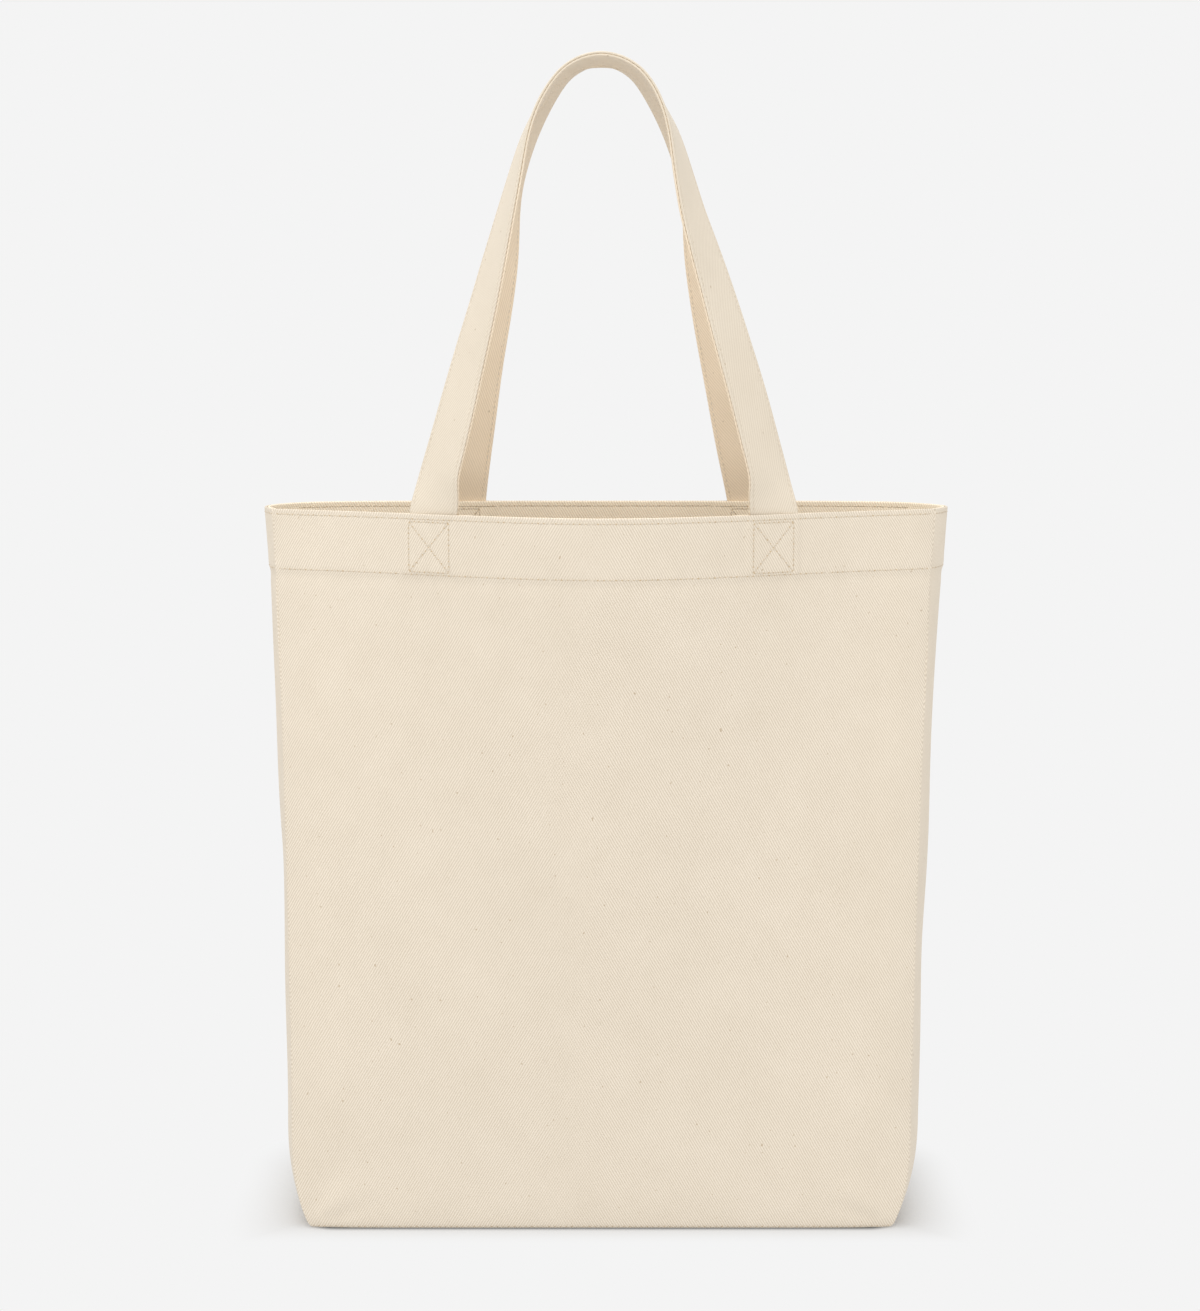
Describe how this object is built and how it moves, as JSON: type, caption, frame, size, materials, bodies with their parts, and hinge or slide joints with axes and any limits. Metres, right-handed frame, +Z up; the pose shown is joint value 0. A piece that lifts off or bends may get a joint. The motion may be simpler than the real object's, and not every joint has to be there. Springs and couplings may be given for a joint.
{
  "type": "tote bag",
  "caption": "Open canvas tote bag with a flat base, side gussets, a faced mouth and two long strap handles that swing from the mouth's edge.",
  "frame": {"origin": "on the floor, under the middle of the base panel", "axes": "+Z up, -Y the front of the bag, +X its right-hand side seen from the front"},
  "size_m": [0.4052, 0.128, 0.6776],
  "materials": {
    "body_canvas": "unbleached cotton twill, matt",
    "facing_canvas": "unbleached cotton twill, matt",
    "strap_canvas": "unbleached cotton twill, folded and stitched, matt",
    "thread": "twisted cotton sewing thread"
  },
  "bodies": {
    "bag": {"front_panel": "body_canvas", "back_panel": "body_canvas", "left_gusset": "body_canvas", "right_gusset": "body_canvas", "base_panel": "body_canvas", "front_facing": "facing_canvas", "back_facing": "facing_canvas", "left_facing": "facing_canvas", "right_facing": "facing_canvas", "front_handle_left_end": "strap_canvas", "front_handle_right_end": "strap_canvas", "back_handle_left_end": "strap_canvas", "back_handle_right_end": "strap_canvas", "front_left_cross_stitching": "thread", "front_right_cross_stitching": "thread", "back_left_cross_stitching": "thread", "back_right_cross_stitching": "thread", "rim_stitching": "thread", "hem_stitching": "thread", "base_stitching": "thread", "front_left_corner_stitching": "thread", "front_right_corner_stitching": "thread", "back_left_corner_stitching": "thread", "back_right_corner_stitching": "thread"},
    "front_handle": {"front_handle": "strap_canvas", "front_handle_inner_stitching": "thread", "front_handle_outer_stitching": "thread"},
    "back_handle": {"back_handle": "strap_canvas", "back_handle_inner_stitching": "thread", "back_handle_outer_stitching": "thread"}
  },
  "joints": [
    {"name": "front_handle_swing", "type": "hinge", "parent": "bag", "child": "front_handle", "pos_m": [0, -0.046, 0.421], "axis": [1, 0, 0], "range_deg": [0, 170]},
    {"name": "back_handle_swing", "type": "hinge", "parent": "bag", "child": "back_handle", "pos_m": [0, 0.0595, 0.421], "axis": [-1, 0, 0], "range_deg": [0, 170]}
  ]
}
